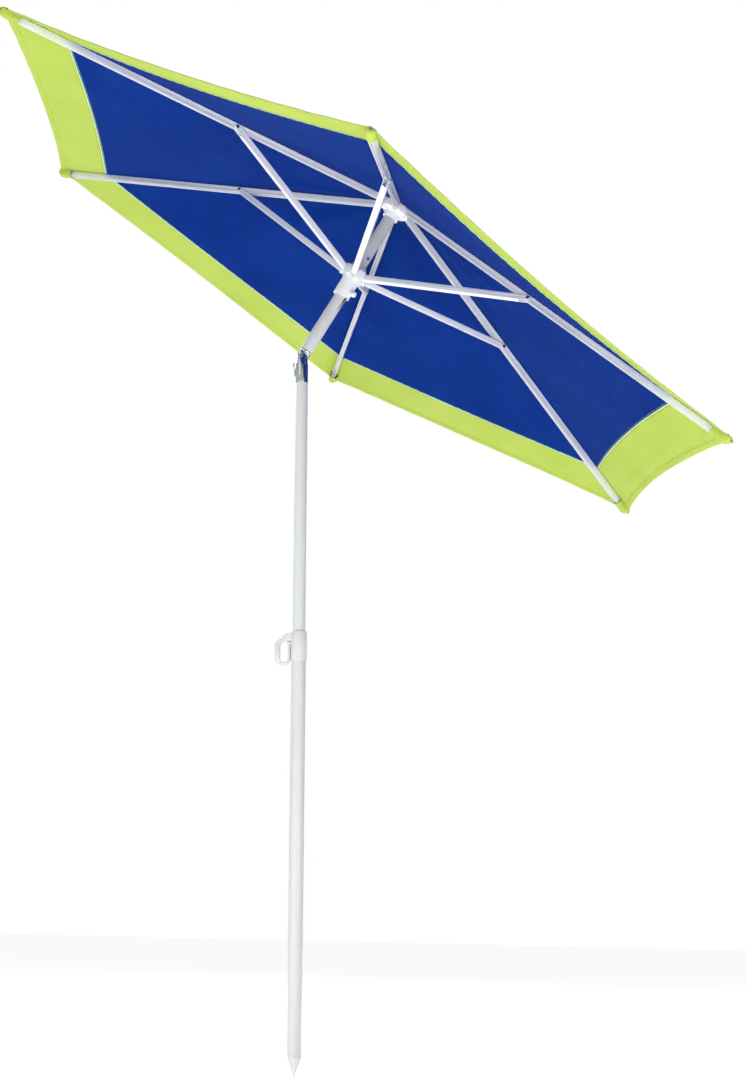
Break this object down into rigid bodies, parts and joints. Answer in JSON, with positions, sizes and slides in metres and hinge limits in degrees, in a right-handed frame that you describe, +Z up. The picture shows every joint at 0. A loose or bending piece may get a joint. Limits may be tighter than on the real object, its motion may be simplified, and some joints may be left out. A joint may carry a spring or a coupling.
{
  "type": "beach umbrella",
  "caption": "Leaning beach umbrella: spiked two-part pole with a clamp lever and tilt joint, a sliding runner with stays, channel ribs and a hexagonal two-colour fabric canopy.",
  "frame": {"origin": "point of the ground spike, on the axis of the lower tube", "axes": "+Z up along the lower tube, +X the way the canopy leans, the tilt pin along Y"},
  "size_m": [1.6346, 1.9904, 2.2734],
  "materials": {
    "white_painted_steel": "smooth white powder coat",
    "white_plastic": "moulded white plastic, slightly glossy",
    "bright_steel": "bright zinc and nickel plated steel",
    "pin_steel": "plain steel wire and pins",
    "brake_rubber": "dark rubber block",
    "blue_fabric": "royal blue woven polyester",
    "green_fabric": "lime green woven polyester"
  },
  "bodies": {
    "lower_pole": {"ground_spike": "white_plastic", "lower_tube": "white_painted_steel", "clamp_collar": "white_plastic", "clamp_pad": "brake_rubber", "clamp_lever_pin": "bright_steel"},
    "clamp_lever": {"clamp_lever": "white_plastic"},
    "inner_tube": {"inner_tube": "white_painted_steel", "inner_tube_bush": "white_plastic", "tilt_fork": "bright_steel", "tilt_pin": "pin_steel"},
    "tilt_button": {"tilt_button": "bright_steel", "tilt_button_spring": "pin_steel"},
    "upper_pole": {"tilt_tongue": "bright_steel", "upper_pole": "white_painted_steel", "runner_stop": "pin_steel", "runner_catch": "pin_steel", "crown_hub": "white_plastic", "crown_pins": "pin_steel", "crown_washer": "white_plastic", "crown_finial": "white_plastic"},
    "runner": {"runner": "white_plastic", "runner_pins": "pin_steel", "runner_knob_spring": "pin_steel"},
    "runner_knob": {"runner_knob": "white_plastic"},
    "rib_1": {"rib_1": "white_painted_steel", "rib_tip_1": "white_plastic", "canopy_panel_1": "blue_fabric", "canopy_border_1": "green_fabric"},
    "stay_1": {"stay_1": "white_painted_steel", "stay_rivet_1": "bright_steel"},
    "rib_2": {"rib_2": "white_painted_steel", "rib_tip_2": "white_plastic", "canopy_panel_2": "blue_fabric", "canopy_border_2": "green_fabric"},
    "stay_2": {"stay_2": "white_painted_steel", "stay_rivet_2": "bright_steel"},
    "rib_3": {"rib_3": "white_painted_steel", "rib_tip_3": "white_plastic", "canopy_panel_3": "blue_fabric", "canopy_border_3": "green_fabric"},
    "stay_3": {"stay_3": "white_painted_steel", "stay_rivet_3": "bright_steel"},
    "rib_4": {"rib_4": "white_painted_steel", "rib_tip_4": "white_plastic", "canopy_panel_4": "blue_fabric", "canopy_border_4": "green_fabric"},
    "stay_4": {"stay_4": "white_painted_steel", "stay_rivet_4": "bright_steel"},
    "rib_5": {"rib_5": "white_painted_steel", "rib_tip_5": "white_plastic", "canopy_panel_5": "blue_fabric", "canopy_border_5": "green_fabric"},
    "stay_5": {"stay_5": "white_painted_steel", "stay_rivet_5": "bright_steel"},
    "rib_6": {"rib_6": "white_painted_steel", "rib_tip_6": "white_plastic", "canopy_panel_6": "blue_fabric", "canopy_border_6": "green_fabric"},
    "stay_6": {"stay_6": "white_painted_steel", "stay_rivet_6": "bright_steel"}
  },
  "joints": [
    {"name": "height_slide", "type": "slide", "parent": "lower_pole", "child": "inner_tube", "axis": [0, 0, -1], "range_m": [0, 0.5]},
    {"name": "clamp_lever_hinge", "type": "hinge", "parent": "lower_pole", "child": "clamp_lever", "pos_m": [-0.03, 0, 0.936], "axis": [0, 1, 0], "range_deg": [0, 100]},
    {"name": "tilt_button_slide", "type": "slide", "parent": "inner_tube", "child": "tilt_button", "axis": [1, 0, 0], "range_m": [0, 0.003], "stiffness_N_per_m": 400, "springref_m": -0.003},
    {"name": "tilt_hinge", "type": "hinge", "parent": "inner_tube", "child": "upper_pole", "pos_m": [0, 0, 1.6], "axis": [0, -1, 0], "range_deg": [0, 31.4]},
    {"name": "runner_slide", "type": "slide", "parent": "upper_pole", "child": "runner", "axis": [-0.521, 0, -0.8536], "range_m": [0, 0.15], "deforming": ["runner_catch"]},
    {"name": "runner_knob_slide", "type": "slide", "parent": "runner", "child": "runner_knob", "axis": [0.8021, -0.342, -0.4896], "range_m": [0, 0.006], "stiffness_N_per_m": 300, "springref_m": -0.004},
    {"name": "rib_1_hinge", "type": "hinge", "parent": "upper_pole", "child": "rib_1", "pos_m": [0.23903, 0.01826, 1.95085], "axis": [-0.5566, 0.7581, 0.3398], "range_deg": [0, 10.72], "deforming": ["canopy_panel_1", "canopy_border_1"]},
    {"name": "stay_1_hinge", "type": "hinge", "parent": "runner", "child": "stay_1", "pos_m": [0.13936, 0.01826, 1.78757], "axis": [0.5566, -0.7581, -0.3398], "range_deg": [0, 10.72]},
    {"name": "rib_2_hinge", "type": "hinge", "parent": "upper_pole", "child": "rib_2", "pos_m": [0.21647, 0.02751, 1.96461], "axis": [-0.8387, -0.1857, 0.512], "range_deg": [0, 10.72], "deforming": ["canopy_panel_2", "canopy_border_2"]},
    {"name": "stay_2_hinge", "type": "hinge", "parent": "runner", "child": "stay_2", "pos_m": [0.11681, 0.02751, 1.80133], "axis": [0.8387, 0.1857, -0.512], "range_deg": [0, 10.72]},
    {"name": "rib_3_hinge", "type": "hinge", "parent": "upper_pole", "child": "rib_3", "pos_m": [0.19835, 0.00925, 1.97567], "axis": [-0.2821, -0.9438, 0.1722], "range_deg": [0, 10.72], "deforming": ["canopy_panel_3", "canopy_border_3"]},
    {"name": "stay_3_hinge", "type": "hinge", "parent": "runner", "child": "stay_3", "pos_m": [0.09869, 0.00925, 1.81239], "axis": [0.2821, 0.9438, -0.1722], "range_deg": [0, 10.72]},
    {"name": "rib_4_hinge", "type": "hinge", "parent": "upper_pole", "child": "rib_4", "pos_m": [0.20279, -0.01826, 1.97297], "axis": [0.5566, -0.7581, -0.3398], "range_deg": [0, 10.72], "deforming": ["canopy_panel_4", "canopy_border_4"]},
    {"name": "stay_4_hinge", "type": "hinge", "parent": "runner", "child": "stay_4", "pos_m": [0.10312, -0.01826, 1.80969], "axis": [-0.5566, 0.7581, 0.3398], "range_deg": [0, 10.72]},
    {"name": "rib_5_hinge", "type": "hinge", "parent": "upper_pole", "child": "rib_5", "pos_m": [0.22534, -0.02751, 1.9592], "axis": [0.8387, 0.1857, -0.512], "range_deg": [0, 10.72], "deforming": ["canopy_panel_5", "canopy_border_5"]},
    {"name": "stay_5_hinge", "type": "hinge", "parent": "runner", "child": "stay_5", "pos_m": [0.12568, -0.02751, 1.79592], "axis": [-0.8387, -0.1857, 0.512], "range_deg": [0, 10.72]},
    {"name": "rib_6_hinge", "type": "hinge", "parent": "upper_pole", "child": "rib_6", "pos_m": [0.24346, -0.00925, 1.94814], "axis": [0.2821, 0.9438, -0.1722], "range_deg": [0, 10.72], "deforming": ["canopy_panel_6", "canopy_border_6"]},
    {"name": "stay_6_hinge", "type": "hinge", "parent": "runner", "child": "stay_6", "pos_m": [0.1438, -0.00925, 1.78486], "axis": [-0.2821, -0.9438, 0.1722], "range_deg": [0, 10.72]}
  ],
  "couplings": [
    {"joint": "rib_1_hinge", "follows": "runner_slide", "rad_per_m": 1.2445},
    {"joint": "stay_1_hinge", "follows": "runner_slide", "rad_per_m": 1.2445},
    {"joint": "rib_2_hinge", "follows": "runner_slide", "rad_per_m": 1.2445},
    {"joint": "stay_2_hinge", "follows": "runner_slide", "rad_per_m": 1.2445},
    {"joint": "rib_3_hinge", "follows": "runner_slide", "rad_per_m": 1.2445},
    {"joint": "stay_3_hinge", "follows": "runner_slide", "rad_per_m": 1.2445},
    {"joint": "rib_4_hinge", "follows": "runner_slide", "rad_per_m": 1.2445},
    {"joint": "stay_4_hinge", "follows": "runner_slide", "rad_per_m": 1.2445},
    {"joint": "rib_5_hinge", "follows": "runner_slide", "rad_per_m": 1.2445},
    {"joint": "stay_5_hinge", "follows": "runner_slide", "rad_per_m": 1.2445},
    {"joint": "rib_6_hinge", "follows": "runner_slide", "rad_per_m": 1.2445},
    {"joint": "stay_6_hinge", "follows": "runner_slide", "rad_per_m": 1.2445}
  ]
}
